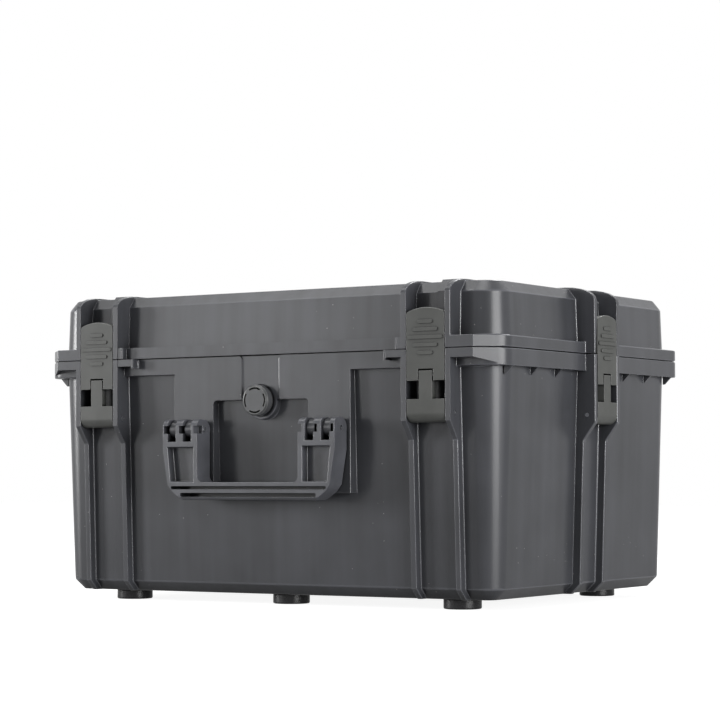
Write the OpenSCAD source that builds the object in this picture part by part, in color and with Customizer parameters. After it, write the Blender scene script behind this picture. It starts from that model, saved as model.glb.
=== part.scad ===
// Hard tool case: a drafted tub and lid in moulded plastic, closed by four
// two-piece draw latches, with a drop handle and a pressure release valve.
// Frame: origin on the floor under the centre of the tub, +X to the right
// along the front, +Y to the back, +Z up. Millimetres.

/* [Shells] */
// Width over the tub walls at the seam
case_w = 518; // [450:2:620]
// Depth over the tub walls at the seam
case_d = 368; // [330:2:460]
// Height of the tub from its underside to the seam
base_h = 231.5; // [200:0.5:320]
// Height of the lid from the seam to its top face
lid_h = 63; // [58:0.5:90]
// Wall thickness of tub and lid
wall = 4; // [3:0.25:6]
// Draft of every wall, in degrees
draft = 2; // [1:0.25:3]
// Radius of the upright corners at the seam
corner_r = 27; // [20:1:32]
// Chamfer round the underside of the tub
tub_chamfer = 10; // [6:0.5:12]
// Width of the chamfer round the top of the lid
lid_chamfer_w = 8; // [6:0.5:10]
// Height of the chamfer round the top of the lid
lid_chamfer_h = 10; // [8:0.5:12]
// Gap between the two rims when the lid is shut
seam_gap = 0.8; // [0.6:0.1:1.2]

/* [Flanges] */
// Height of the lid flange
lid_flange_h = 11; // [9:0.5:13]
// Height of the tub flange
base_flange_h = 16; // [13:0.5:20]
// How far the flanges stand out from the front and rear walls
flange_front = 7; // [6:0.5:9]
// How far the lid's front flange stands out past the tub's
lid_overhang = 3.5; // [0:0.5:5]
// How far the flanges stand out from the side walls
flange_side = 8.5; // [7.5:0.5:9.5]
// Radius of the flange corners at the back
flange_r = 20; // [14:1:26]
// Radius of the swept front corner blocks
corner_sweep_r = 47; // [42:1:55]
// Distance from the side flange face back to the edge of a corner block
corner_sweep = 24; // [20:0.5:26]
// Height of the tub's corner blocks where they leave the front latches
corner_block_h = 8.5; // [6:0.5:12]
// Length of the tub's tabs inboard of the front latches
tub_tab = 19.4; // [14:0.2:22]
// Length of the lid's tabs inboard of the front latches
lid_tab = 6.5; // [5:0.5:10]
// Number of gussets under the side flange, fore and aft of each side latch
gusset_count = 3; // [1:1:3]
// Spacing of the gussets
gusset_pitch = 48; // [40:1:50]
// Height of the gussets
gusset_h = 7.5; // [5:0.5:10]

/* [Latches] */
// Distance of the front latches from the side walls
latch_inset = 66; // [64:1:100]
// Width of a latch
latch_w = 40.5; // [36:0.5:46]
// Thickness of the latch plates
latch_t = 7; // [6:0.25:7.5]
// Height of the latch lever above the seam, at its corners
lever_rise = 33.5; // [28:0.5:38]
// Height of the arch over the lever's corners
lever_arch = 4.5; // [2:0.5:6]
// Drop from the seam to the lever's lower edge
lever_drop = 29.5; // [27:0.5:33]
// Drop from the seam to the top of the link's block
block_drop = 46.5; // [44:0.5:50]
// Drop from the seam to the link's pivot
link_pivot_drop = 59; // [57:0.5:64]
// Radius of the link's rolled lower end
link_roll_r = 9; // [8:0.25:9.5]
// Width of the link's tongue
tongue_w = 14; // [11:0.5:16]
// Thickness of the ribs that flank a latch
post_t = 5.5; // [4.5:0.25:8]
// How far the ribs stand out from the wall at the seam
post_reach = 18.5; // [17.5:0.5:21]
// How far the lower ribs step back below the latch
rib_step = 13; // [10:0.5:15]
// Diameter of the pins that carry the links
link_pin_d = 4; // [3:0.25:5]
// Diameter of the pins that join levers to links
lever_pin_d = 3; // [2.5:0.25:3.5]

/* [Handle] */
// Overall width of the handle
handle_w = 201; // [190:1:204]
// Width of each handle arm
arm_w = 41.5; // [40:0.5:45]
// Depth of the handle, front to back
handle_t = 21.5; // [18:0.5:23]
// Drop from the pivot to the bottom of the grip
handle_drop = 68.2; // [62:0.2:76]
// Height of the grip bar
grip_h = 17; // [15:0.5:20]
// Drop from the seam to the handle's pivot
handle_pivot_drop = 71.5; // [68:0.5:78]
// Radius of the handle's knuckles
knuckle_r = 10; // [9:0.25:10.5]
// Width of the round lugs on the tub
lug_w = 9.2; // [8:0.2:9.6]
// Diameter of the handle pins
handle_pin_d = 4.5; // [3.5:0.25:5]

/* [Handle plate] */
// Half width of the raised plate behind the handle
plate_half_w = 103.5; // [103:0.5:110]
// Drop from the seam to the lower edge of the plate
plate_drop = 133; // [120:1:145]
// Half width of the plate's cut-out
cutout_half_w = 56; // [48:0.5:57]
// Drop from the seam to the top of the cut-out
cutout_drop = 43; // [40:0.5:48]
// Half width of the channel above the valve
channel_half_w = 20.5; // [19:0.5:24]
// Depth of the channel above the valve
channel_depth = 1.6; // [1:0.1:2.4]

/* [Valve] */
// Radius of the boss round the valve
boss_r = 18.3; // [17.5:0.1:20]
// Width of the rim round the valve's seat
boss_rim = 2.7; // [2:0.1:3]
// Depth of the valve's seat behind its rim
boss_recess = 1.2; // [0.6:0.1:2]
// Radius of the valve knob
knob_r = 15; // [13.5:0.25:16]
// Height of the valve knob
knob_h = 8.2; // [7:0.2:10]
// Radius of the valve's threaded stem
stem_r = 8.7; // [7.5:0.1:9]

/* [Hinge] */
// Distance of the hinge axis behind the rear flange
hinge_reach = 16; // [13:0.5:18]
// Drop from the seam to the hinge axis
hinge_drop = 3; // [2:0.25:4]
// Radius of the hinge knuckles
hinge_knuckle_r = 7; // [6:0.25:8]
// Number of hinge knuckles, shared by the tub and the lid
hinge_knuckles = 11; // [7:2:15]
// Distance of the row of knuckles from the side walls
hinge_inset = 21; // [19:1:40]
// How far the hinge rod runs past the row of knuckles
rod_end = 13; // [2:0.5:16]
// Diameter of the hinge rod
rod_d = 5; // [4:0.25:6]

/* [Feet] */
// Diameter of a foot
foot_d = 36; // [30:1:40]
// Height of a foot
foot_h = 10; // [8:0.5:14]
// Distance of the outer feet from the side walls
foot_inset_x = 65; // [62:1:100]
// Distance of the feet from the front and rear walls
foot_inset_y = 46; // [44:1:70]
// Shank diameter of the foot screws
screw_d = 5; // [4:0.25:6]

/* [Seal] */
// Width of the lid seal
seal_w = 5.4; // [4:0.2:6]
// Height of the lid seal
seal_h = 4.3; // [3:0.1:5]

/* [Fits] */
// Side clearance between a latch and its ribs
latch_gap = 0.75; // [0.5:0.05:1]
// Radial clearance of a pin in the part that holds it
pin_hold = 0.05; // [0.05:0.01:0.06]
// Radial clearance of a pin in the part that turns on it
pin_run = 0.08; // [0.07:0.01:0.1]
// Clearance round soft seals
soft_gap = 0.3; // [0.2:0.05:0.4]
// End clearance between knuckles that turn against each other
knuckle_gap = 0.4; // [0.3:0.05:0.6]

/* [Hidden] */
$fn = 64;

// Half sizes of the walls at the seam, and the main heights
half_w = case_w / 2;
half_d = case_d / 2;
base_z = foot_h;
seam_z = base_z + base_h;
base_top = seam_z - seam_gap / 2;
lid_bottom = seam_z + seam_gap / 2;
lid_top = seam_z + lid_h;
slice = 0.01;
thin = 0.02;
// Overrun of a cutting tool past the face that it cuts
cut = 1;
hull_facets = 40;

// Heights of the tub's tabs and of the lips that end them
tub_tab_h = 6.8;
tub_lip_h = 9;

// Flange faces, and the faces of the latch ribs
latch_x = half_w - latch_inset;
flange_x = half_w + flange_side;
flange_y = half_d + flange_front;
front_face = -(half_d + post_reach);
side_face = half_w + post_reach;
sweep_edge_x = flange_x - corner_sweep;
sweep_x = flange_x - corner_sweep_r;
sweep_y = front_face + sqrt(pow(corner_sweep_r, 2) - pow(sweep_edge_x - sweep_x, 2));

// Latch heights, and the depths of its parts behind the face of the ribs
lever_corner_z = seam_z + lever_rise;
lever_bottom_z = seam_z - lever_drop;
block_top_z = seam_z - block_drop;
link_pivot_z = seam_z - link_pivot_drop;
link_pivot_w = link_roll_r;
lever_pivot_w = latch_t / 2;
tongue_round_r = 5.5;
notch_gap = 0.5;
lever_pivot_z = lever_bottom_z + 4.7;
notch_top_z = lever_pivot_z + tongue_round_r + notch_gap;
notch_w = tongue_w + 2.3;
lever_corner_r = 2.6;
// Raised grip bars on the lever, from the top down
bar_widths = [16, 26.5, 37.5, 26.5, 16];
bar_pitch = 7.2;
bar_h = 3.3;
bar_proud = 0.8;
top_bar_z = lever_corner_z - 8.6;
nose_w = 22;
nose_depth = 2.1;
nose_z = lid_bottom + lid_flange_h + 0.6;
nose_h = 4;
keeper_w = latch_t + nose_depth + 0.4;
post_x = latch_w / 2 + latch_gap + post_t / 2;
post_outer_x = post_x + post_t / 2;
post_foot_z = link_pivot_z - 7.3;
rib_slope_drop = 17.5;
lid_rib_arc_w = 32;
lid_rib_arc_h = 13;
lid_rib_proud = 2;
lid_rib_run = 62;
lid_pad_x = 3;
lid_pad_t = 2;
lid_pad_run = 24;
LATCHES = [
    [-latch_x, front_face, 0],
    [latch_x, front_face, 0],
    [side_face, 0, 90],
    [-side_face, 0, -90]
];

// Handle, its pivots and its knuckles
handle_half_w = handle_w / 2;
arm_inner_x = handle_half_w - arm_w;
plate_face = -flange_y;
pivot_y = plate_face - knuckle_r - 1;
handle_pivot_z = seam_z - handle_pivot_drop;
handle_front = pivot_y - 12;
handle_back = handle_front + handle_t;
lug_slot_w = lug_w + 2 * knuckle_gap;
inner_knuckle_w = 7.6;
middle_knuckle_w = 8.3;
inner_lug_x = arm_inner_x + inner_knuckle_w;
outer_lug_x = inner_lug_x + lug_slot_w + middle_knuckle_w;
lug_r = knuckle_r - 1;
grip_top = -handle_drop + grip_h;
handle_taper = 5.5;
handle_corner_w = 17;
handle_corner_h = 15;
window_web = 2.5;

// Valve: its axis height and the faces of its stack
valve_z = seam_z - cutout_drop - 1;
boss_face = plate_face + channel_depth;
valve_seat = boss_face + boss_recess;
seal_ring_t = 1.4;
valve_flange_t = 2;
valve_flange_r = knob_r - 1;
valve_flange_back = valve_seat - seal_ring_t - 2 * soft_gap;
valve_flange_front = valve_flange_back - valve_flange_t;
knob_back = valve_flange_front - 0.3;
knob_front = knob_back - knob_h;
channel_slope = 1.8;
channel_flare = 4;
valve_wall_inner = -(half_d - wall - (seam_z - valve_z) * tan(draft));
// The boss ends in a flat inside the sloping wall, for the nut to sit on
valve_nut_face = valve_wall_inner + boss_r * tan(draft) + 0.4;
nut_gap = 0.1;
stem_end = 1.5;
nut_t = 5;
nut_r = 13;
stem_bore_r = stem_r + 0.25;

// Hinge
hinge_y = flange_y + hinge_reach;
hinge_z = seam_z - hinge_drop;
hinge_half_l = half_w - hinge_inset;
rod_half_l = hinge_half_l + rod_end;
knuckle_pitch = 2 * hinge_half_l / hinge_knuckles;
hinge_arm_h = 8;

// Feet: the bosses over them and the screws that hold them
foot_x = half_w - foot_inset_x;
foot_y = half_d - foot_inset_y;
foot_boss_r = 7;
foot_boss_h = 12;
foot_edge = 1.5;
screw_head_z = 1.6;
screw_head_t = 3.4;
screw_head_r = 4.8;
screw_head_gap = 0.4;
screw_reach = 9;
screw_bore_h = screw_reach + 1;

// Seal groove and the ridge that presses into the seal
seal_line = (flange_front - wall) / 2;
groove_w = seal_w + 2 * soft_gap;
groove_top = lid_bottom + 1.4 + seal_h + soft_gap;
ridge_w = 2.4;
ridge_h = 1.8;

function base_inset(z) = (seam_z - z) * tan(draft);
function lid_inset(z) = (z - seam_z) * tan(draft);

// ---------------------------------------------------------------- outlines

// A rectangle with rounded corners, centred, from its half sizes
module rounded_rect(hx, hy, r) {
    square([2 * hx, 2 * (hy - r)], center = true);
    square([2 * (hx - r), 2 * hy], center = true);
    for (sx = [-1, 1], sy = [-1, 1])
        translate([sx * (hx - r), sy * (hy - r)])
            circle(r = r);
}

// A long slot with round ends, centred
module slot_outline(half_l, height) {
    square([2 * half_l - height, height], center = true);
    for (s = [-1, 1])
        translate([s * (half_l - height / 2), 0])
            circle(d = height);
}

// One thin slice of a drafted shell, inset from the walls at the seam
module shell_slice(hx, hy, r, inset, z) {
    translate([0, 0, z])
        linear_extrude(slice)
            rounded_rect(hx - inset, hy - inset, max(r - inset, 1.5), $fn = hull_facets);
}

// A drafted block, widest at the seam, with its far edge chamfered
module drafted_block(hx, hy, r, z_seam, z_end, chamfer_w, chamfer_h) {
    up = sign(z_seam - z_end);
    lean = (abs(z_seam - z_end) - chamfer_h) * tan(draft);
    hull() {
        shell_slice(hx, hy, r, 0, z_seam - (up > 0 ? slice : 0));
        shell_slice(hx, hy, r, lean, z_end + up * chamfer_h);
        shell_slice(hx, hy, r, lean + chamfer_w, z_end - (up > 0 ? 0 : slice));
    }
}

// A ring that follows the rim, from its distances outside the wall
module rim_ring(inner, outer) {
    difference() {
        rounded_rect(half_w + outer, half_d + outer, corner_r + outer);
        rounded_rect(half_w + inner, half_d + inner, corner_r + inner);
    }
}

// Extrudes an outline drawn as (depth, height) along X, centred on x
module side_profile(x, width) {
    translate([x - width / 2, 0, 0])
        rotate([90, 0, 90])
            linear_extrude(width)
                children();
}

// Extrudes an outline drawn as (x, height) from one depth to another
module front_profile(y0, y1) {
    translate([0, y1, 0])
        rotate([90, 0, 0])
            linear_extrude(y1 - y0)
                children();
}

// A pin or bore that lies along X
module x_rod(x0, x1, y, z, r) {
    translate([x0, y, z])
        rotate([0, 90, 0])
            cylinder(r = r, h = x1 - x0);
}

// Moves a latch part from its own frame to one of the four latch stations:
// X across the latch, Y the depth behind the face of the ribs, Z up
module at_latch(i) {
    translate([LATCHES[i][0], LATCHES[i][1], 0])
        rotate([0, 0, LATCHES[i][2]])
            children();
}

// ------------------------------------------------------------------ flanges

module flange_outline() {
    rounded_rect(flange_x, flange_y, flange_r);
}

// The blocks that carry the front corners out to the face of the ribs
module corner_block_outline() {
    for (s = [-1, 1])
        scale([s, 1])
            intersection() {
                translate([sweep_x, sweep_y])
                    circle(r = corner_sweep_r);
                translate([latch_x + post_x, front_face])
                    square([side_face, corner_sweep_r]);
            }
}

// The tub's corner blocks grow deeper towards the side flanges
module tub_corner_blocks() {
    inner_z = base_top - corner_block_h;
    outer_z = base_top - base_flange_h;
    intersection() {
        translate([0, 0, outer_z])
            linear_extrude(base_flange_h)
                corner_block_outline();
        for (s = [-1, 1])
            front_profile(front_face - cut, front_face + corner_sweep_r)
                polygon([[s * latch_x, base_top], [s * latch_x, inner_z],
                         [s * sweep_edge_x, inner_z], [s * flange_x, outer_z],
                         [s * (flange_x + cut), outer_z], [s * (flange_x + cut), base_top]]);
    }
}

// A short tab on the face of the ribs, inboard of each front latch. It ends
// in an upright lip with a rounded nose and a shallow pocket in its side.
module latch_tabs(length, tab_z, lip_z, top_z) {
    lip_w = 2.5;
    inner_x = latch_x - post_outer_x - length;
    outer_x = latch_x - post_x;
    depth = plate_face + cut - front_face;
    for (s = [-1, 1]) {
        translate([s > 0 ? inner_x + lip_w / 2 : -outer_x, front_face + lip_w / 4, tab_z])
            cube([outer_x - inner_x - lip_w / 2, depth - lip_w / 4, top_z - tab_z]);
        difference() {
            translate([s * (inner_x + lip_w / 2), front_face, lip_z])
                linear_extrude(top_z - lip_z) {
                    translate([0, lip_w / 2])
                        circle(d = lip_w);
                    translate([-lip_w / 2, lip_w / 2])
                        square([lip_w, depth - lip_w / 2]);
                }
            translate([s * inner_x - cut, front_face + 1.2 * lip_w, lip_z + 1])
                cube([2 * cut, depth - 2.4 * lip_w, top_z - lip_z - 2]);
        }
    }
}

// ---------------------------------------------------------------- base shell

// Outline of a tub rib: a deep post beside the latch, then a stepped rib
// that runs down the wall and round the lower chamfer
module base_rib_outline() {
    step_z = post_foot_z - rib_slope_drop;
    chamfer_z = base_z + tub_chamfer;
    low_w = rib_step + (step_z - chamfer_z) * tan(draft);
    wall_w = post_reach + base_inset(chamfer_z);
    polygon([
        [0, base_top],
        [0, post_foot_z],
        [rib_step, step_z],
        [low_w, chamfer_z],
        [low_w + tub_chamfer, base_z],
        [wall_w + tub_chamfer + wall, base_z],
        [wall_w + wall, chamfer_z + wall],
        [post_reach + wall / 2, base_top]
    ]);
}

// A plain rib on the rear wall, flush with the rear flange
module rear_rib_outline() {
    chamfer_z = base_z + tub_chamfer;
    low_w = base_inset(chamfer_z);
    wall_w = flange_front + base_inset(chamfer_z);
    polygon([
        [0, base_top],
        [low_w, chamfer_z],
        [low_w + tub_chamfer, base_z],
        [wall_w + tub_chamfer + wall, base_z],
        [wall_w + wall, chamfer_z + wall],
        [flange_front + wall / 2, base_top]
    ]);
}

module base_latch_ribs() {
    for (i = [0 : 3])
        at_latch(i)
            for (s = [-1, 1])
                side_profile(s * post_x, post_t)
                    base_rib_outline();
}

module rear_ribs() {
    for (s = [-1, 1], k = [-1, 1])
        translate([0, flange_y, 0])
            mirror([0, 1, 0])
                side_profile(s * latch_x + k * post_x, post_t)
                    children();
}

// Raised plate behind the handle
module handle_plate() {
    depth = flange_front + wall / 2 + base_inset(seam_z - plate_drop);
    corner = 4;
    front_profile(plate_face, plate_face + depth)
        difference() {
            translate([-plate_half_w, seam_z - plate_drop])
                square([2 * plate_half_w, plate_drop - seam_gap / 2]);
            translate([-cutout_half_w, 0])
                square([2 * cutout_half_w, seam_z - cutout_drop - corner]);
            translate([-cutout_half_w + corner, 0])
                square([2 * (cutout_half_w - corner), seam_z - cutout_drop]);
            for (s = [-1, 1])
                translate([s * (cutout_half_w - corner), seam_z - cutout_drop - corner])
                    circle(r = corner);
        }
}

// The channel that runs down the plate to the valve: its sides slope, and
// it widens just under the seam
module valve_channel() {
    translate([0, 0, valve_z])
        linear_extrude(seam_z - valve_z)
            polygon([[-channel_half_w, boss_face], [channel_half_w, boss_face],
                     [channel_half_w + channel_slope, plate_face],
                     [channel_half_w + channel_slope, plate_face - cut],
                     [-channel_half_w - channel_slope, plate_face - cut],
                     [-channel_half_w - channel_slope, plate_face]]);
    front_profile(plate_face - cut, boss_face)
        polygon([[-channel_half_w - channel_flare, seam_z], [channel_half_w + channel_flare, seam_z],
                 [channel_half_w, base_top - channel_flare],
                 [-channel_half_w, base_top - channel_flare]]);
}

// The round boss that the valve is mounted on
module valve_boss() {
    front_profile(boss_face, valve_nut_face)
        translate([0, valve_z])
            circle(r = boss_r);
}

// Two round lugs for each handle arm
module handle_lugs() {
    for (s = [-1, 1], x = [inner_lug_x, outer_lug_x])
        side_profile(s * (x + lug_slot_w / 2), lug_w) {
            translate([pivot_y, handle_pivot_z])
                circle(r = lug_r);
            translate([pivot_y, handle_pivot_z - lug_r])
                square([plate_face - pivot_y + wall, 2 * lug_r]);
        }
}

// Small triangular gussets between the side flange and the wall
module side_gussets() {
    gusset_t = 2;
    first_y = 24;
    reach = flange_side - 1;
    for (s = [-1, 1], k = [-1, 1], n = [1 : gusset_count])
        translate([s * half_w, k * (first_y + n * gusset_pitch), base_top - base_flange_h])
            rotate([90, 0, 0])
                linear_extrude(gusset_t, center = true)
                    polygon([[-s * wall / 2, 1], [s * reach, 1], [s * reach, 0],
                             [0, -gusset_h], [-s * wall / 2, -gusset_h]]);
}

// One hinge knuckle with the arm that joins it to its flange
module hinge_knuckle(x, arm_z0, arm_z1) {
    side_profile(x, knuckle_pitch - knuckle_gap) {
        translate([hinge_y, hinge_z])
            circle(r = hinge_knuckle_r);
        translate([flange_y - wall, arm_z0])
            square([hinge_y - flange_y + wall, arm_z1 - arm_z0]);
    }
}

// The knuckles that belong to one shell: every second one along the hinge
module hinge_row(first, arm_z0, arm_z1) {
    for (k = [first : 2 : hinge_knuckles - 1])
        hinge_knuckle((k - (hinge_knuckles - 1) / 2) * knuckle_pitch, arm_z0, arm_z1);
}

// Bosses in the tub floor that take the foot screws
module foot_bosses() {
    for (x = [-foot_x, 0, foot_x], y = [-foot_y, foot_y])
        translate([x, y, base_z])
            cylinder(r = foot_boss_r, h = foot_boss_h);
}

module foot_screw_bores() {
    for (x = [-foot_x, 0, foot_x], y = [-foot_y, foot_y])
        translate([x, y, base_z - cut])
            cylinder(d = screw_d + 2 * pin_hold, h = screw_bore_h + cut);
}

module base_shell() {
    color("#505255")
    difference() {
        union() {
            difference() {
                union() {
                    drafted_block(half_w, half_d, corner_r, base_top, base_z,
                                  tub_chamfer, tub_chamfer);
                    translate([0, 0, base_top - base_flange_h])
                        linear_extrude(base_flange_h)
                            flange_outline();
                    tub_corner_blocks();
                    latch_tabs(tub_tab, base_top - tub_tab_h, base_top - tub_lip_h, base_top);
                    base_latch_ribs();
                    rear_ribs()
                        rear_rib_outline();
                    handle_plate();
                    handle_lugs();
                    side_gussets();
                    hinge_row(0, hinge_z - hinge_knuckle_r, base_top);
                }
                drafted_block(half_w - wall, half_d - wall, corner_r - wall,
                              base_top + cut, base_z + wall, tub_chamfer, tub_chamfer);
                valve_channel();
            }
            valve_boss();
            translate([0, 0, base_top])
                linear_extrude(ridge_h)
                    rim_ring(seal_line - ridge_w / 2, seal_line + ridge_w / 2);
            foot_bosses();
        }
        foot_screw_bores();
        x_rod(-flange_x, flange_x, hinge_y, hinge_z, rod_d / 2 + pin_hold);
        for (i = [0 : 3])
            at_latch(i)
                x_rod(-post_outer_x - cut, post_outer_x + cut, link_pivot_w, link_pivot_z,
                      link_pin_d / 2 + pin_hold);
        for (s = [-1, 1])
            x_rod(s * handle_half_w - arm_w, s * handle_half_w + arm_w, pivot_y, handle_pivot_z,
                  handle_pin_d / 2 + pin_hold);
        translate([0, boss_face - cut, valve_z])
            rotate([-90, 0, 0]) {
                cylinder(r = boss_r - boss_rim, h = boss_recess + cut);
                cylinder(r = stem_bore_r, h = valve_nut_face - boss_face + 2 * cut);
            }
    }
}

// ----------------------------------------------------------------- lid shell

// Outline of a lid rib: upright beside the latch, then curving back over
// the lid's chamfer a little proud of the top face
module lid_rib_outline() {
    rib_top = lid_top + lid_rib_proud;
    arc_z = rib_top - lid_rib_arc_h;
    polygon(concat(
        [[0, lid_bottom]],
        [for (a = [0 : 15 : 90])
            [lid_rib_arc_w * (1 - cos(a)), arc_z + lid_rib_arc_h * sin(a)]],
        [[lid_rib_run, rib_top],
         [lid_rib_run, lid_top - wall / 2],
         [post_reach + lid_chamfer_w + wall, lid_top - wall / 2],
         [post_reach + wall, lid_top - lid_chamfer_h - wall / 2],
         [post_reach + wall / 2, lid_bottom]]
    ));
}

// A low pad beside one rib of each front latch, where the lid's skin is
// thicker: it follows the wall, the chamfer and the first stretch of the top
module lid_pad_outline() {
    chamfer_z = lid_top - lid_chamfer_h;
    pad_w = post_reach + lid_inset(chamfer_z) - lid_pad_t;
    top_w = pad_w + lid_chamfer_w + lid_pad_t / 2;
    polygon([
        [post_reach - lid_pad_t, lid_bottom],
        [pad_w, chamfer_z + lid_pad_t / 2],
        [top_w, lid_top + lid_pad_t],
        [top_w + lid_pad_run, lid_top + lid_pad_t],
        [top_w + lid_pad_run, lid_top - wall / 2],
        [post_reach + lid_chamfer_w + wall, lid_top - wall / 2],
        [post_reach + wall, chamfer_z - wall / 2],
        [post_reach + wall / 2, lid_bottom]
    ]);
}

// A plain rib on the rear wall of the lid
module lid_rear_rib_outline() {
    arc_z = lid_top - lid_chamfer_h;
    polygon([
        [0, lid_bottom],
        [lid_inset(arc_z), arc_z],
        [lid_inset(arc_z) + lid_chamfer_w + 1, lid_top],
        [flange_front + lid_chamfer_w + wall, lid_top],
        [flange_front + lid_chamfer_w + wall, lid_top - wall / 2],
        [flange_front + wall, arc_z - wall / 2],
        [flange_front + wall / 2, lid_bottom]
    ]);
}

// The lid ribs sweep past a closed side lever as the lid starts to rise,
// so the forward rib of each side latch is relieved by the swing's run-out
module side_latch_relief(s) {
    swing = pow(lever_rise, 2) / (2 * hinge_y) + 0.85;
    inner = s * (latch_w / 2 + latch_gap - thin);
    front_profile(-cut, latch_t + 1)
        polygon([[inner, lid_bottom - cut], [inner + s * swing, lid_bottom - cut],
                 [inner, lever_corner_z + 2]]);
}

module lid_latch_ribs() {
    for (i = [0 : 3])
        at_latch(i)
            difference() {
                union() {
                    for (s = [-1, 1])
                        side_profile(s * post_x, post_t)
                            lid_rib_outline();
                    if (i < 2)
                        side_profile((lid_pad_x + post_x) / 2, post_x - lid_pad_x)
                            lid_pad_outline();
                    translate([-latch_w / 2, keeper_w, lid_bottom])
                        cube([latch_w, post_reach - keeper_w, lid_flange_h]);
                }
                if (i == 2)
                    side_latch_relief(-1);
                if (i == 3)
                    side_latch_relief(1);
            }
}

module lid_shell() {
    color("#5d5f63")
    difference() {
        union() {
            drafted_block(half_w, half_d, corner_r, lid_bottom, lid_top,
                          lid_chamfer_w, lid_chamfer_h);
            translate([0, 0, lid_bottom])
                linear_extrude(lid_flange_h) {
                    flange_outline();
                    corner_block_outline();
                }
            latch_tabs(lid_tab, lid_bottom, lid_bottom, lid_bottom + lid_flange_h);
            translate([-latch_x + post_x, plate_face - lid_overhang, lid_bottom])
                cube([2 * (latch_x - post_x), lid_overhang + wall, lid_flange_h]);
            lid_latch_ribs();
            rear_ribs()
                lid_rear_rib_outline();
            hinge_row(1, lid_bottom, lid_bottom + hinge_arm_h);
        }
        drafted_block(half_w - wall, half_d - wall, corner_r - wall,
                      lid_bottom - cut, lid_top - wall, lid_chamfer_w, lid_chamfer_h);
        translate([0, 0, lid_bottom - cut])
            linear_extrude(groove_top - lid_bottom + cut)
                rim_ring(seal_line - groove_w / 2, seal_line + groove_w / 2);
        x_rod(-flange_x, flange_x, hinge_y, hinge_z, rod_d / 2 + pin_run);
    }
}

module lid_seal() {
    color("#1d1d1f")
    translate([0, 0, groove_top - soft_gap - seal_h])
        linear_extrude(seal_h)
            rim_ring(seal_line - seal_w / 2, seal_line + seal_w / 2);
}

module hinge_rod() {
    color("#b9bcc0")
    x_rod(-rod_half_l, rod_half_l, hinge_y, hinge_z, rod_d / 2);
}

// ------------------------------------------------------------------- latches

// Lower half of a latch: a rolled block on the tub's pin, with the tongue
// that carries the lever
module latch_link(i) {
    color("#5f605e")
    at_latch(i)
        difference() {
            union() {
                side_profile(0, latch_w) {
                    translate([link_pivot_w, link_pivot_z])
                        circle(r = link_roll_r);
                    translate([0, link_pivot_z])
                        square([link_pivot_w + 3, block_top_z - link_pivot_z]);
                }
                side_profile(0, tongue_w) {
                    translate([0, link_pivot_z])
                        square([latch_t, lever_pivot_z - link_pivot_z]);
                    intersection() {
                        translate([lever_pivot_w, lever_pivot_z])
                            circle(r = tongue_round_r);
                        translate([0, lever_pivot_z - latch_t])
                            square([latch_t, 2 * latch_t]);
                    }
                }
            }
            x_rod(-latch_w, latch_w, link_pivot_w, link_pivot_z, link_pin_d / 2 + pin_run);
            x_rod(-latch_w, latch_w, lever_pivot_w, lever_pivot_z, lever_pin_d / 2 + pin_run);
        }
}

// Face outline of the lever: an arched top with rounded corners, and a
// notch for the tongue
module lever_outline() {
    half = latch_w / 2;
    arch_r = (pow(half, 2) + pow(lever_arch, 2)) / (2 * lever_arch);
    arch_z = lever_corner_z + lever_arch - arch_r;
    corner_x = half - lever_corner_r;
    corner_z = arch_z + sqrt(pow(arch_r - lever_corner_r, 2) - pow(corner_x, 2));
    lean = acos(corner_x / (arch_r - lever_corner_r));
    difference() {
        polygon(concat(
            [[-half, lever_bottom_z], [half, lever_bottom_z]],
            [for (k = [0 : 4])
                [corner_x + lever_corner_r * cos(lean * k / 4),
                 corner_z + lever_corner_r * sin(lean * k / 4)]],
            [for (k = [1 : 15])
                let (a = lean + (180 - 2 * lean) * k / 16)
                    [arch_r * cos(a), arch_z + arch_r * sin(a)]],
            [for (k = [4 : -1 : 0])
                [-corner_x - lever_corner_r * cos(lean * k / 4),
                 corner_z + lever_corner_r * sin(lean * k / 4)]]
        ));
        translate([-notch_w / 2, lever_bottom_z - cut])
            square([notch_w, notch_top_z - lever_bottom_z + cut]);
    }
}

// Upper half of a latch: the lever that hooks over the lid's keeper
module latch_lever(i) {
    color("#5f605e")
    at_latch(i)
        difference() {
            union() {
                front_profile(0, latch_t)
                    lever_outline();
                for (n = [0 : len(bar_widths) - 1])
                    front_profile(-bar_proud, cut)
                        translate([0, top_bar_z - n * bar_pitch])
                            slot_outline(bar_widths[n] / 2, bar_h);
                translate([-nose_w / 2, latch_t - cut, nose_z])
                    cube([nose_w, nose_depth + cut, nose_h]);
            }
            x_rod(-latch_w, latch_w, lever_pivot_w, lever_pivot_z, lever_pin_d / 2 + pin_hold);
        }
}

module link_pin(i) {
    color("#a8abaf")
    at_latch(i)
        x_rod(-post_outer_x + 0.5, post_outer_x - 0.5, link_pivot_w, link_pivot_z, link_pin_d / 2);
}

module lever_pin(i) {
    color("#a8abaf")
    at_latch(i)
        x_rod(-latch_w / 2 + 0.5, latch_w / 2 - 0.5, lever_pivot_w, lever_pivot_z, lever_pin_d / 2);
}

// -------------------------------------------------------------------- handle

// The handle's outer edge seen from the front, about its pivot
module handle_outline() {
    low_x = handle_half_w - handle_taper;
    right = [
        [low_x - handle_corner_w, -handle_drop],
        [low_x - handle_corner_w * 0.3, -handle_drop + handle_corner_h * 0.55],
        [low_x, -handle_drop + handle_corner_h],
        [handle_half_w, -knuckle_r * 2],
        [handle_half_w, knuckle_r + cut]
    ];
    left = [for (i = [len(right) - 1 : -1 : 0]) [-right[i][0], right[i][1]]];
    polygon(concat(right, left));
}

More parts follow.
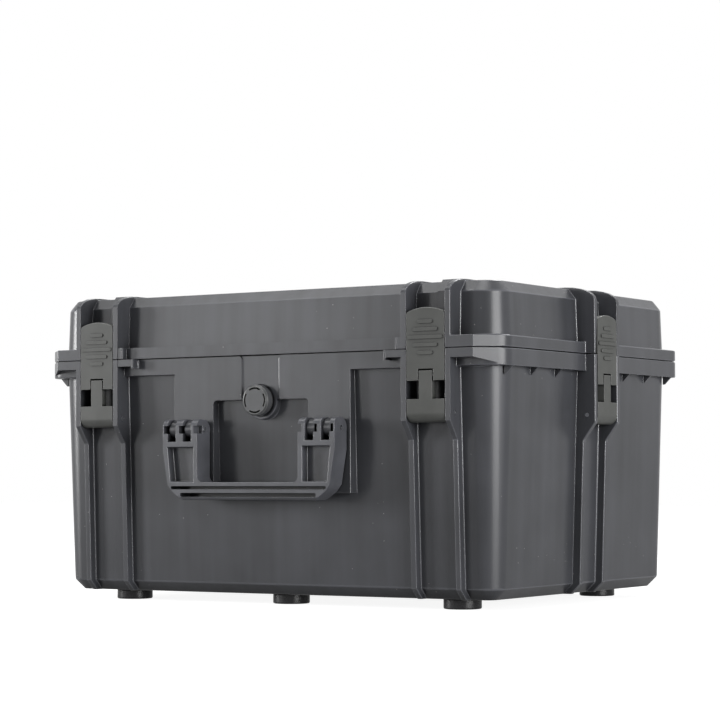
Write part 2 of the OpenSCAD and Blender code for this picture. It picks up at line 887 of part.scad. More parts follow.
// The open middle of the handle, with rounded lower corners
module handle_opening() {
    corner = 6;
    translate([-arm_inner_x, grip_top + corner])
        square([2 * arm_inner_x, handle_drop]);
    translate([-arm_inner_x + corner, grip_top])
        square([2 * (arm_inner_x - corner), handle_drop]);
    for (s = [-1, 1])
        translate([s * (arm_inner_x - corner), grip_top + corner])
            circle(r = corner);
}

// Side view of the handle about its pivot: round at the knuckles so that
// it clears the plate as it lifts
module handle_side_outline() {
    front = handle_front - pivot_y;
    back = handle_back - pivot_y;
    nose_r = 7;
    low_r = 4;
    circle(r = knuckle_r);
    translate([front + nose_r, knuckle_r - nose_r])
        circle(r = nose_r);
    translate([front, -handle_drop / 2])
        square([nose_r, handle_drop / 2 + knuckle_r - nose_r]);
    translate([front + nose_r, -knuckle_r])
        square([-front - nose_r, 2 * knuckle_r]);
    translate([front, -handle_drop + low_r])
        square([back - front, handle_drop - low_r]);
    translate([front + low_r, -handle_drop])
        square([back - front - 2 * low_r, handle_drop]);
    for (y = [front + low_r, back - low_r])
        translate([y, -handle_drop + low_r])
            circle(r = low_r);
}

module handle() {
    window_top = -17;
    window_bottom = grip_top + 0.6;
    window_in = arm_inner_x + 4.8;
    window_out = handle_half_w - 5.2;
    window_depth = (handle_t - window_web) / 2;
    slot_depth = handle_t - 5;
    front = handle_front - pivot_y;
    back = handle_back - pivot_y;
    color("#55575a")
    translate([0, pivot_y, handle_pivot_z])
        difference() {
            intersection() {
                front_profile(-handle_t, handle_t)
                    difference() {
                        handle_outline();
                        handle_opening();
                    }
                side_profile(0, handle_w + 2 * cut)
                    handle_side_outline();
            }
            for (s = [-1, 1]) {
                for (x = [inner_lug_x, outer_lug_x])
                    translate([s * (x + lug_slot_w / 2) - lug_slot_w / 2, -handle_t, -11.7])
                        cube([lug_slot_w, 2 * handle_t, knuckle_r + 11.7 + cut]);
                for (x = [arm_inner_x - cut, inner_lug_x + lug_slot_w - cut,
                          outer_lug_x + lug_slot_w - cut])
                    translate([s > 0 ? x : -x - 4.3 - cut, -handle_t, -3.8])
                        cube([4.3 + cut, handle_t - handle_pin_d / 2 - 1, 7.6]);
                for (y = [front - cut, back - window_depth])
                    front_profile(y, y + window_depth + cut)
                        polygon([[s * window_in, window_top], [s * window_out, window_top],
                                 [s * (window_out - 3.6), window_bottom],
                                 [s * window_in, window_bottom]]);
            }
            front_profile(front - cut, front + slot_depth) {
                translate([0, grip_top - 5.3])
                    slot_outline(91, 3.2);
                translate([0, grip_top - 12.2])
                    slot_outline(79.5, 3.8);
            }
            x_rod(-handle_half_w - cut, handle_half_w + cut, 0, 0, handle_pin_d / 2 + pin_run);
        }
}

module handle_pin(s) {
    color("#a8abaf")
    x_rod(s > 0 ? arm_inner_x - 1 : -handle_half_w + 1,
          s > 0 ? handle_half_w - 1 : -arm_inner_x + 1,
          pivot_y, handle_pivot_z, handle_pin_d / 2);
}

// --------------------------------------------------------------------- valve

// Turns an outline drawn as (radius, distance outwards from the seat) about
// the valve's axis
module valve_turned() {
    translate([0, valve_seat, valve_z])
        rotate([90, 0, 0])
            rotate_extrude()
                children();
}

// The valve's own body: flange, spigot for the knob and threaded stem
module valve_body() {
    flange_in = valve_seat - valve_flange_back;
    flange_out = valve_seat - valve_flange_front;
    stem_in = valve_seat - valve_nut_face - nut_gap - nut_t - stem_end;
    color("#4a4b4e")
    valve_turned()
        difference() {
            union() {
                translate([0, flange_in])
                    square([valve_flange_r, valve_flange_t]);
                translate([0, stem_in])
                    square([stem_r, flange_in - stem_in]);
                translate([0, flange_out])
                    square([6, knob_h - 2.3]);
            }
            translate([0, stem_in - cut])
                square([4, flange_out - stem_in + cut]);
            translate([0, flange_in - 2])
                square([7, 1]);
        }
}

// The cap that is turned to open the valve, with four curved vents
module valve_knob() {
    vent_in = 10.9;
    vent_out = 12.4;
    rim_in = 12.8;
    face_t = 2;
    from = valve_seat - knob_back;
    color("#55575a")
    difference() {
        valve_turned()
            difference() {
                union() {
                    translate([0, from + knob_h - face_t])
                        square([knob_r, face_t]);
                    translate([rim_in, from])
                        square([knob_r - rim_in, knob_h]);
                    translate([6 + pin_run, from])
                        square([2.2, knob_h - cut]);
                }
                translate([knob_r - 0.8, from + knob_h - 0.8])
                    rotate(45)
                        translate([0, -2])
                            square([4, 4]);
            }
        for (q = [0 : 3])
            translate([0, knob_front - cut, valve_z])
                rotate([0, q * 90 - 32, 0])
                    rotate([-90, 0, 0])
                        rotate_extrude(angle = 64)
                            translate([vent_in, 0])
                                square([vent_out - vent_in, face_t + 2 * cut]);
    }
}

module valve_seal() {
    color("#1d1d1f")
    valve_turned()
        translate([stem_r + soft_gap, soft_gap])
            square([valve_flange_r - stem_r - 2 * soft_gap, seal_ring_t]);
}

module valve_nut() {
    color("#4a4b4e")
    translate([0, valve_nut_face + nut_gap + nut_t, valve_z])
        rotate([90, 0, 0])
            difference() {
                cylinder(r = nut_r, h = nut_t, $fn = 6);
                translate([0, 0, -cut])
                    cylinder(r = stem_r + pin_hold, h = nut_t + 2 * cut);
            }
}

// Vent membrane, held in a slot inside the valve body
module valve_membrane() {
    color("#e8e8e4")
    valve_turned()
        translate([0, valve_seat - valve_flange_back - 1.8])
            square([6.8, 0.6]);
}

// ---------------------------------------------------------------------- feet

module foot(x, y) {
    foot_r = foot_d / 2;
    color("#232325")
    translate([x, y, 0])
        rotate_extrude()
            difference() {
                polygon([[0, 0], [foot_r - foot_edge, 0], [foot_r, foot_edge],
                         [foot_r, foot_h - 1], [foot_r - 1, foot_h], [0, foot_h]]);
                translate([0, -cut])
                    square([screw_d / 2 + screw_head_gap / 2, foot_h + 2 * cut]);
                translate([0, -cut])
                    square([screw_head_r + screw_head_gap, screw_head_z + screw_head_t + cut]);
            }
}

// Pan-head screws that hold the feet: one group of separate solids
module foot_screws() {
    seat_z = screw_head_z + screw_head_t;
    tip_z = base_z + screw_reach;
    color("#8f9296")
    for (x = [-foot_x, 0, foot_x], y = [-foot_y, foot_y])
        translate([x, y, 0])
            rotate_extrude()
                polygon([[0, screw_head_z], [screw_head_r - 1.4, screw_head_z],
                         [screw_head_r, screw_head_z + 1.2], [screw_head_r, seat_z],
                         [screw_d / 2, seat_z], [screw_d / 2, tip_z - 1], [0, tip_z]]);
}

// --------------------------------------------------------------------- nodes

base_shell();
lid_shell();
lid_seal();
hinge_rod();
latch_link(0);  // front_left_latch_link
latch_link(1);  // front_right_latch_link
latch_link(2);  // right_side_latch_link
latch_link(3);  // left_side_latch_link
latch_lever(0);  // front_left_latch_lever
latch_lever(1);  // front_right_latch_lever
latch_lever(2);  // right_side_latch_lever
latch_lever(3);  // left_side_latch_lever
link_pin(0);  // front_left_link_pin
link_pin(1);  // front_right_link_pin
link_pin(2);  // right_side_link_pin
link_pin(3);  // left_side_link_pin
lever_pin(0);  // front_left_lever_pin
lever_pin(1);  // front_right_lever_pin
lever_pin(2);  // right_side_lever_pin
lever_pin(3);  // left_side_lever_pin
handle();
handle_pin(-1);  // handle_pin_left
handle_pin(1);  // handle_pin_right
valve_body();
valve_knob();
valve_seal();
valve_nut();
valve_membrane();
foot(-foot_x, -foot_y);  // foot_front_left
foot(0, -foot_y);  // foot_front_middle
foot(foot_x, -foot_y);  // foot_front_right
foot(-foot_x, foot_y);  // foot_rear_left
foot(0, foot_y);  // foot_rear_middle
foot(foot_x, foot_y);  // foot_rear_right
foot_screws();
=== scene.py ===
# %% [markdown]
# # A hard tool case
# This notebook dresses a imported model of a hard-shell tool case: a deep tub and a lid in moulded
# plastic, draw latches, a drop handle and a pressure valve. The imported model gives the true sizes
# and the moving bodies. Blender adds rounded edges, finishes and light, and never moves a part.

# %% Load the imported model
import math

import bmesh
import bpy
from mathutils import Matrix, Vector
from mathutils.geometry import intersect_line_line_2d


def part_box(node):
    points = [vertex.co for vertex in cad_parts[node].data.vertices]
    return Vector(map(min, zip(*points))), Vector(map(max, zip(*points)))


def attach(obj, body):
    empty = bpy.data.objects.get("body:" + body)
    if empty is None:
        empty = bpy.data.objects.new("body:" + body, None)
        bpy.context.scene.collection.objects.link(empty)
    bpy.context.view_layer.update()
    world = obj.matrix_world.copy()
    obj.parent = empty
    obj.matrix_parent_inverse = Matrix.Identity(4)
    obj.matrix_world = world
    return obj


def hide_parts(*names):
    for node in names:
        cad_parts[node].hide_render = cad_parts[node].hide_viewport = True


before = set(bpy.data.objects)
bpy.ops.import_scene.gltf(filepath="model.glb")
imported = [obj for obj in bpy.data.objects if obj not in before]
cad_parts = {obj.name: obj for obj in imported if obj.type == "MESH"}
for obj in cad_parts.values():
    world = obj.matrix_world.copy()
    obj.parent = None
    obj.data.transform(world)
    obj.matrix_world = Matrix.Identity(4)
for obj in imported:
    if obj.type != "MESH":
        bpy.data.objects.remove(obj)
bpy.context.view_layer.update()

MM = 0.001

# %% [markdown]
# ## Where the camera stands
# A product picture of a wide case is taken from a few metres away with a long lens, so that its
# upright edges stay nearly parallel. The camera stands to the right, low, and looks slightly up.

# %% Camera
CAMERA_PLACE = Vector((1.3147, -2.0637, 0.1268))
CAMERA_HEADING = math.radians(32.653)
CAMERA_PITCH = math.radians(2.744)
CAMERA_ROLL = math.radians(-0.189)
SENSOR_WIDTH = 36.0
LENS = 118.385


def camera_matrix(place, heading, pitch, roll):
    """Turns a place, a heading, a pitch and a roll into a camera's matrix."""
    level = math.cos(pitch)
    forward = Vector((-math.sin(heading) * level, math.cos(heading) * level, math.sin(pitch)))
    right = Vector((math.cos(heading), math.sin(heading), 0))
    up = right.cross(forward)
    rolled_right = right * math.cos(roll) + up * math.sin(roll)
    rolled_up = up * math.cos(roll) - right * math.sin(roll)
    matrix = Matrix((rolled_right, rolled_up, -forward)).transposed().to_4x4()
    matrix.translation = place
    return matrix


camera = bpy.data.objects.new("camera", bpy.data.cameras.new("camera"))
bpy.context.scene.collection.objects.link(camera)
camera.matrix_world = camera_matrix(CAMERA_PLACE, CAMERA_HEADING, CAMERA_PITCH, CAMERA_ROLL)
camera.data.sensor_width = SENSOR_WIDTH
camera.data.lens = LENS
bpy.context.scene.camera = camera
print("camera lens:", LENS, "mm")

# %% [markdown]
# ## Colours and nodes
# Paint charts and screens give colours as sRGB hex values, while Blender mixes light in linear
# values, so one function converts them. A second function adds a shader or geometry node with
# its settings and links in one line, which keeps every tree below short enough to read.

# %% Helpers for colours and nodes


def linear_colour(code):
    """Turns an sRGB hex colour such as "#36373A" into Blender's linear RGBA."""
    parts = [int(code[i:i + 2], 16) / 255 for i in (1, 3, 5)]
    return [c / 12.92 if c <= 0.04045 else ((c + 0.055) / 1.055) ** 2.4 for c in parts] + [1.0]


def add_node(tree, kind, inputs=None, **settings):
    """Adds a node. Each input is a value to set or a socket to link from, by name or number."""
    node = tree.nodes.new(kind)
    for name, value in settings.items():
        setattr(node, name, value)
    for key, value in (inputs or {}).items():
        if isinstance(value, bpy.types.NodeSocket):
            tree.links.new(value, node.inputs[key])
        else:
            node.inputs[key].default_value = value
    return node


print("charcoal in linear light:", [round(c, 3) for c in linear_colour("#36373A")[:3]])

# %% [markdown]
# ## Moulded polypropylene
# The tub and the lid are injection-moulded in a polypropylene copolymer, dyed charcoal. The
# steel mould is spark-eroded, which leaves a fine satin grain, so the gloss is soft, and its
# level is set lower than that of a smooth plastic because the grain hides part of it. As the
# plastic flows and shrinks it leaves faint clouds and upright flow lines. Where the edges were
# polished and get rubbed, they are smoother. Every round is also painted a little paler, which
# is rubbing on the outer edges and a painted highlight on all rounds, inside corners too. A real
# grain of about 0.1 mm is too fine to show at this distance, so it is drawn at about 1 mm. A few
# specks of dust sit on it, as on any plastic that has been handled. Deep corners, recesses and
# gaps get painted shade: their colour is darkened by how closed in they are.

# %% A finish for moulded plastic


def moulded_plastic(name, colour, cloud_colour, roughness, grain=1.0, grain_depth=0.02,
                    cloud=70.0, flow=0.0, dust=0.0, shine=0.28, reach=30.0, corner_shade_limits=(0.18, 0.55)):
    """Makes a satin moulded plastic. grain, cloud and reach are sizes in millimetres. The pair of
    shade limits gives how open a corner is where the painted shade is full and where it ends."""
    material = bpy.data.materials.new(name)
    material.use_nodes = True
    tree = material.node_tree
    plastic = tree.nodes["Principled BSDF"]
    plastic.inputs["IOR"].default_value = 1.49
    plastic.inputs["Specular IOR Level"].default_value = shine
    place = add_node(tree, "ShaderNodeTexCoord").outputs["Object"]
    clouds = add_node(tree, "ShaderNodeTexNoise",
                      {"Vector": place, "Scale": 1 / (cloud * MM), "Detail": 3.0})
    shade = clouds.outputs["Fac"]
    if flow:
        tall = add_node(tree, "ShaderNodeMapping", {"Vector": place, "Scale": (1.0, 1.0, 0.04)})
        lines = add_node(tree, "ShaderNodeTexNoise",
                         {"Vector": tall.outputs[0], "Scale": 1 / (14 * MM), "Detail": 2.0})
        mixed = add_node(tree, "ShaderNodeMix", {0: flow, 2: shade, 3: lines.outputs["Fac"]})
        shade = mixed.outputs[0]
    steps = add_node(tree, "ShaderNodeMapRange",
                     {"Value": shade, "From Min": 0.35, "From Max": 0.65})
    tint = add_node(tree, "ShaderNodeMix", {0: steps.outputs[0], 6: linear_colour(colour),
                                            7: linear_colour(cloud_colour)}, data_type="RGBA")
    skin = tint.outputs[2]
    if dust:
        cells = add_node(tree, "ShaderNodeTexVoronoi", {"Vector": place, "Scale": 1 / (6 * MM)})
        dot = add_node(tree, "ShaderNodeMath", {0: cells.outputs["Distance"], 1: 0.06},
                       operation="LESS_THAN")
        chosen = add_node(tree, "ShaderNodeSeparateColor", {0: cells.outputs["Color"]})
        few = add_node(tree, "ShaderNodeMath", {0: chosen.outputs[0], 1: dust},
                       operation="LESS_THAN")
        speck = add_node(tree, "ShaderNodeMath", {0: dot.outputs[0], 1: few.outputs[0]},
                         operation="MULTIPLY")
        dusted = add_node(tree, "ShaderNodeMix", {0: speck.outputs[0], 6: skin,
                                                  7: linear_colour("#A9A8A4")}, data_type="RGBA")
        skin = dusted.outputs[2]
    # Painted shade: an ambient occlusion node darkens the colour in deep corners, recesses and
    # gaps, by how closed in they are.
    corners = add_node(tree, "ShaderNodeAmbientOcclusion", {"Distance": reach * MM}, samples=8)
    depth = add_node(tree, "ShaderNodeMapRange", {"Value": corners.outputs["AO"],
                                                  "From Min": corner_shade_limits[0], "From Max": corner_shade_limits[1],
                                                  "To Min": 0.15, "To Max": 1.0})
    skin_with_corner_shade = add_node(tree, "ShaderNodeMix", {0: 1.0, 6: skin, 7: depth.outputs[0]},
                      data_type="RGBA", blend_type="MULTIPLY")
    tree.links.new(skin_with_corner_shade.outputs[2], plastic.inputs["Base Color"])
    fine = add_node(tree, "ShaderNodeTexNoise",
                    {"Vector": place, "Scale": 1 / (grain * MM), "Detail": 2.0})
    gloss = add_node(tree, "ShaderNodeMapRange", {"Value": fine.outputs["Fac"],
                                                  "To Min": roughness - 0.05,
                                                  "To Max": roughness + 0.05})
    tree.links.new(gloss.outputs[0], plastic.inputs["Roughness"])
    bump = add_node(tree, "ShaderNodeBump", {"Height": fine.outputs["Fac"], "Strength": 0.6,
                                             "Distance": grain_depth * MM})
    tree.links.new(bump.outputs[0], plastic.inputs["Normal"])
    return material


SHELL_SKIN = moulded_plastic("charcoal_polypropylene", "#36373A", "#424347", 0.30,
                             flow=0.45, dust=0.1)
# The edge finishes are smoother and paler than their skins. The paler colour is rubbing on outer
# edges and a painted highlight on every round, inside corners too.
SHELL_EDGE_WEAR_AND_HIGHLIGHT = moulded_plastic("polypropylene_edge_wear_and_highlight", "#4C4D51", "#535459", 0.20,
                             grain=1.5, shine=0.5)
LID_SKIN = moulded_plastic("charcoal_polypropylene_lid", "#36373A", "#424347", 0.30,
                           flow=0.55, dust=0.1)
HANDLE_SKIN = moulded_plastic("handle_polypropylene", "#46474B", "#4F5055", 0.31, cloud=25.0)
HANDLE_EDGE_WEAR_AND_HIGHLIGHT = moulded_plastic("handle_edge_wear_and_highlight", "#505156", "#57585D", 0.20, shine=0.5)
print("shell finish nodes:", len(SHELL_SKIN.node_tree.nodes))

# %% [markdown]
# ## Glass-filled nylon
# Latches carry the load, so they are moulded in nylon with short glass fibres. The fibres come
# close to the skin, which makes it duller and warmer than the shells, with a dry matt grain.

# %% Latch finish
# The latch finishes put painted shade of short reach only in small hollows, such as round the bars
# on the lever.
LATCH_SKIN = moulded_plastic("glass_filled_nylon", "#464745", "#4C4D4B", 0.45, grain=0.8,
                             grain_depth=0.03, cloud=18.0, shine=0.2, reach=3.0,
                             corner_shade_limits=(0.62, 0.95))
# The paler nylon edge is rubbing and a painted highlight along the rounds.
LATCH_EDGE_WEAR_AND_HIGHLIGHT = moulded_plastic("nylon_edge_wear_and_highlight", "#585957", "#60615F", 0.34, grain=0.8,
                             shine=0.4, reach=3.0, corner_shade_limits=(0.62, 0.95))
VALVE_SKIN = moulded_plastic("acetal_valve_cap", "#434446", "#494A4C", 0.34, cloud=12.0)
print("latch finish:", LATCH_SKIN.name)

# %% [markdown]
# ## Feet, seals and metal
# The feet are turned-up pucks of hard black thermoplastic rubber with a slight gloss. The seals
# are foamed silicone, dull and nearly black. Pins and screws are zinc-plated steel: a metal takes
# its colour in its reflections, so its base colour is bright and its roughness does the work.

# %% Rubber, silicone, steel and membrane
FOOT_RUBBER = moulded_plastic("black_foot_rubber", "#343436", "#3C3C3E", 0.28, cloud=10.0)
SEAL_SILICONE = moulded_plastic("foamed_silicone", "#232325", "#2B2B2D", 0.75, grain=0.6,
                                grain_depth=0.05, cloud=15.0)
VENT_CLOTH = moulded_plastic("white_vent_membrane", "#DADAD5", "#E4E4E0", 0.80, grain=0.5,
                             grain_depth=0.05, cloud=5.0)


def plated_steel(name, colour, roughness):
    """Makes bright zinc-plated steel, drawn along its length."""
    material = bpy.data.materials.new(name)
    material.use_nodes = True
    tree = material.node_tree
    metal = tree.nodes["Principled BSDF"]
    metal.inputs["Metallic"].default_value = 1.0
    place = add_node(tree, "ShaderNodeTexCoord").outputs["Object"]
    drawn = add_node(tree, "ShaderNodeMapping", {"Vector": place, "Scale": (0.05, 1.0, 1.0)})
    lines = add_node(tree, "ShaderNodeTexNoise",
                     {"Vector": drawn.outputs[0], "Scale": 1 / (0.4 * MM), "Detail": 2.0})
    tint = add_node(tree, "ShaderNodeMix", {0: lines.outputs["Fac"], 6: linear_colour(colour),
                                            7: linear_colour("#C9CBD0")}, data_type="RGBA")
    tree.links.new(tint.outputs[2], metal.inputs["Base Color"])
    gloss = add_node(tree, "ShaderNodeMapRange", {"Value": lines.outputs["Fac"],
                                                  "To Min": roughness - 0.06,
                                                  "To Max": roughness + 0.06})
    tree.links.new(gloss.outputs[0], metal.inputs["Roughness"])
    return material


PIN_STEEL = plated_steel("zinc_plated_pin_steel", "#A9ABB0", 0.32)
SCREW_STEEL = plated_steel("zinc_plated_screw_steel", "#9C9EA3", 0.38)
print("metals:", PIN_STEEL.name, SCREW_STEEL.name)

# %% [markdown]
# ## Flat faces on the corner blocks
# At the front corners both flanges swell into blocks that take the knocks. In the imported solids
# the front of a block is swept in a shallow arc. On the real case it is a flat cut across the
# corner, so it lights up as one bright face. The points of the arc are moved back onto the
# straight line between its ends, by less than two millimetres, and so stay inside the solid.

# %% Reshape the corner blocks
BLOCK_CENTRE = Vector((220.5, -161.51)) * MM
BLOCK_RADIUS = 47 * MM
BLOCK_START, BLOCK_END = math.radians(29.3), math.radians(58.3)
SLOPE_UNDER_BLOCK = -0.3125


def on_block(turn):
    """A point on the arc of the right block, at an angle from the front."""
    return BLOCK_CENTRE + Vector((math.sin(turn), -math.cos(turn))) * BLOCK_RADIUS


def flatten_corner_blocks(shape):
    """Moves the arcs of both front blocks onto their chords."""
    start = on_block(BLOCK_START)
    along = (on_block(BLOCK_END) - start).normalized()
    for vert in shape.verts:
        side = 1 if vert.co.x > 0 else -1
        point = Vector((side * vert.co.x, vert.co.y))
        out = point - BLOCK_CENTRE
        turn = math.atan2(out.x, -out.y)
        if (abs(out.length - BLOCK_RADIUS) < 0.05 * MM
                and BLOCK_START + 0.01 < turn < BLOCK_END - 0.01):
            moved = start + along * (point - start).dot(along)
            if vert.co.z < 0.235:
                vert.co.z += SLOPE_UNDER_BLOCK * (moved.x - point.x)
            vert.co.x, vert.co.y = side * moved.x, moved.y


print("flat faces from and to, mm:", [[round(c / MM, 1) for c in on_block(turn)]
                                      for turn in (BLOCK_START, BLOCK_END)])

# %% [markdown]
# ## Rounded edges
# A moulding has no sharp edge: the mould's corners are rounded so that the plastic flows and
# the part lets go, and those rounds catch the light as thin bright lines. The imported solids
# have sharp edges, so a copy is merged back into large faces and bevelled. The bevel must not be
# wider than the faces beside it, so each edge gets its own width, from the room next to it.
# Inside corners get a larger fillet than outside ones, as a mould maker gives them.

# %% Measure the room beside an edge
SHARP_ANGLE = math.radians(28)
ROOM_SHARE = 0.42


def distance_to_edge(point, edge):
    """Distance from a point to an edge, as a segment."""
    start, end = (v.co for v in edge.verts)
    along = end - start
    share = (point - start).dot(along) / max(along.length_squared, 1e-18)
    return (start + along * min(max(share, 0.0), 1.0) - point).length


def room_beside(face, edge):
    """How far a face reaches from one of its edges before it meets another."""
    start, end = (v.co for v in edge.verts)
    along = (end - start).normalized()
    inward = face.normal.cross(along)
    room = 1.0
    for other in face.edges:
        if other is edge:
            continue
        shared = set(other.verts) & set(edge.verts)
        if shared:
            direction = (other.verts[1].co - other.verts[0].co).normalized()
            depth = abs((other.other_vert(shared.pop()).co - start).dot(inward))
            if abs(direction.dot(along)) < 0.9 and depth > 1e-5:
                room = min(room, depth)
        else:
            gaps = ([distance_to_edge(v.co, other) for v in edge.verts]
                    + [distance_to_edge(v.co, edge) for v in other.verts])
            room = min(gaps + [room])
    return room


def finished_mesh(piece):
    """Applies a piece's modifiers and returns the plain mesh."""
    bpy.context.view_layer.update()
    mesh = bpy.data.meshes.new_from_object(piece.evaluated_get(
        bpy.context.evaluated_depsgraph_get()))
    piece.modifiers.clear()
    return mesh


def soften_steps(rounds):
    """Brings each width of round nearer to the narrowest one beside it."""
    return {edge: (width + min(rounds[other] for vert in edge.verts
                               for other in vert.link_edges if other in rounds)) / 2
            for edge, width in rounds.items()}


def edge_rounds(shape, outer, inner):
    """Gives each sharp edge its own width of round, no wider than the room beside it."""
    rounds = {}
    for edge in shape.edges:
        if edge.is_manifold and edge.calc_face_angle(0) > SHARP_ANGLE:
            room = min(room_beside(face, edge) for face in edge.link_faces)
            rounds[edge] = min(outer if edge.is_convex else inner, room * ROOM_SHARE)
    return soften_steps(soften_steps(rounds))


def bevelled_mesh(piece, shape, rounds):
    """Returns the mesh of a piece with its own width of bevel on each sharp edge."""
    weight = shape.edges.layers.float["bevel_weight_edge"]
    widest = max(rounds.values())
    for edge, width in rounds.items():
        edge[weight] = width / widest
        edge.smooth = width > 0.05 * MM
    shape.to_mesh(piece.data)
    bevel = piece.modifiers.new("rounds", "BEVEL")
    bevel.limit_method = "WEIGHT"
    bevel.width = widest
    bevel.segments = 3
    bevel.use_clamp_overlap = False
    bevel.loop_slide = False
    bevel.miter_outer = "MITER_SHARP"
    # The rounds take the paler edge finish, which is rubbing and painted highlight.
    bevel.material = 1
    return finished_mesh(piece)


# %% [markdown]
# Where two rounds still run into each other, the outline of a face crosses itself, and Blender
# would fill it with stray triangles. Such a face is known by its area: its triangles cover more
# than its outline holds. A small loop in an outline is drawn together into the point where it
# crosses, unless that would cut a face in two. If that isn't enough, the rounds near the
# crossing are made narrower and the piece is rounded again, and the try with the least stray
# area is kept.

# %% Mend outlines that cross themselves
SPARE_AREA = 0.02 * MM * MM
LOOP_REACH = 4 * MM
NEAR_CROSSING = 2.5 * MM
TRIES = 5


def tangled_faces(mesh):
    """Returns the faces whose triangles cover too much, each with its stray area."""
    mesh.calc_loop_triangles()
    filled = [0.0] * len(mesh.polygons)
    for triangle in mesh.loop_triangles:
        filled[triangle.polygon_index] += triangle.area
    return {face.index: filled[face.index] - face.area for face in mesh.polygons
            if filled[face.index] > face.area * 1.0005 + SPARE_AREA}


def crossings(normal, places):
    """Returns which sides of an outline cross each other, and the point where they do."""
    lay_flat = normal.rotation_difference(Vector((0, 0, 1))).to_matrix()
    flat = [lay_flat @ place for place in places]
    sides = [(corner.xy, flat[(i + 1) % len(flat)].xy) for i, corner in enumerate(flat)]
    found = []
    for i, one in enumerate(sides):
        for j in range(i + 2, len(sides) - (i == 0)):
            hit = intersect_line_line_2d(*one, *sides[j])
            if hit:
                found.append((i, j, lay_flat.transposed() @ Vector((*hit, flat[i].z))))
    return found


def stays_whole(face, group):
    """Tells whether a face keeps a single outline when a group of its corners is merged."""
    inside = [loop.vert in group for loop in face.loops]
    return sum(inside[i] != inside[i - 1] for i in range(len(inside))) <= 2


def draw_loops_together(mesh):
    """Merges the corners of each small crossing loop, and returns the crossings found."""
    tangled = tangled_faces(mesh)
    shape = bmesh.new()
    shape.from_mesh(mesh)
    shape.faces.ensure_lookup_table()
    merged, points = set(), []
    for index in tangled:
        face = shape.faces[index]
        corners = [loop.vert for loop in face.loops]
        for i, j, point in crossings(face.normal, [vert.co.copy() for vert in corners]):
            points.append(point)
            loop = set(min(corners[i + 1:j + 1], corners[j + 1:] + corners[:i + 1], key=len))
            if (not merged & loop
                    and all((vert.co - point).length < LOOP_REACH for vert in loop)
                    and all(stays_whole(side, loop) for vert in loop
                            for side in vert.link_faces)):
                merged |= loop
                for vert in loop:
                    vert.co = point
    bmesh.ops.remove_doubles(shape, verts=list(merged), dist=1e-7)
    shape.to_mesh(mesh)
    shape.free()
    return points


# %% [markdown]
# ## From a imported solid to a finished moulding
# Merging gives back true flat faces. The bevel then follows a weight on each edge, and a
# weighted normal keeps the big walls looking flat up to their rounded edges. The bevel's own
# faces take a second material, the edge finish. It is smoother and paler: rubbing on the outer
# edges, and a painted highlight on every round, inside corners too.

# %% Make a moulding with rounded edges


def mould(name, nodes, body, skin, edge_wear_and_highlight, outer=1.0, inner=1.4, reshape=None):
    """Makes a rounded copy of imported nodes. outer and inner are the widest rounds in mm."""
    shape = bmesh.new()
    for node in nodes:
        shape.from_mesh(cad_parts[node].data)
    bmesh.ops.remove_doubles(shape, verts=shape.verts, dist=2e-6)
    if reshape:
        reshape(shape)
    bmesh.ops.dissolve_degenerate(shape, edges=shape.edges, dist=1e-6)
    bmesh.ops.dissolve_limit(shape, angle_limit=math.radians(0.5), verts=shape.verts,
                             edges=shape.edges, delimit=set())
    shape.normal_update()
    for face in shape.faces:
        face.smooth = True
        face.material_index = 0
    shape.edges.layers.float.new("bevel_weight_edge")
    rounds = edge_rounds(shape, outer * MM, inner * MM)
    piece = bpy.data.objects.new(name, bpy.data.meshes.new(name))
    bpy.context.scene.collection.objects.link(piece)
    piece.data.materials.append(skin)
    piece.data.materials.append(edge_wear_and_highlight)
    least = None
    for attempt in range(TRIES):
        mesh = bevelled_mesh(piece, shape, rounds)
        for _ in range(3):
            points = draw_loops_together(mesh)
            if not points:
                break
        stray = sum(tangled_faces(mesh).values())
        if least is None or stray < least:
            least, best = stray, mesh
        if not points:
            break
        for edge in rounds:
            if min(distance_to_edge(point, edge) for point in points) < NEAR_CROSSING:
                rounds[edge] *= 0.5
        rounds = soften_steps(rounds)
    shape.free()
    piece.data = best
    flat = piece.modifiers.new("flat_walls", "WEIGHTED_NORMAL")
    flat.keep_sharp = True
    flat.weight = 80
    piece.data = finished_mesh(piece)
    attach(piece, body)
    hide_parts(*nodes)
    print(name, "rounded edges:", len(rounds), "faces:", len(piece.data.polygons),
          "tries:", attempt + 1, "stray sq mm:", round(least * 1e6, 2))
    return piece


# %% [markdown]
# ## The tub and the lid
# These are the two large mouldings, with their flanges, ribs and corner blocks in one piece.

# %% Tub and lid
mould("tub", ["base_shell"], "base", SHELL_SKIN, SHELL_EDGE_WEAR_AND_HIGHLIGHT, 1.2, 2.2,
      flatten_corner_blocks)
mould("lid", ["lid_shell"], "lid", LID_SKIN, SHELL_EDGE_WEAR_AND_HIGHLIGHT, 1.2, 2.2,
      flatten_corner_blocks)

# %% [markdown]
# ## Latches
# Each latch has a link that turns on the tub and a lever that hooks over the lid. Every one is
# its own moving body, so each gets its own rounded copy, made by the same function.

# %% Latches
for place in ("front_left", "front_right", "right_side", "left_side"):
    for part in ("lever", "link"):
        mould(f"{place}_{part}", [f"{place}_latch_{part}"], f"{place}_{part}",
              LATCH_SKIN, LATCH_EDGE_WEAR_AND_HIGHLIGHT, 0.6, 0.5)
    for pin, body in (("link_pin", "base"), ("lever_pin", f"{place}_link")):
        mould(f"{place}_{pin}_steel", [f"{place}_{pin}"], body,
              PIN_STEEL, PIN_STEEL, 0.4, 0.4)

# %% [markdown]
# ## Handle and valve
# The handle's slots and blind windows save plastic and keep its walls even. The valve cap has
# four curved vents, and its rim is narrow, so its rounds are small.

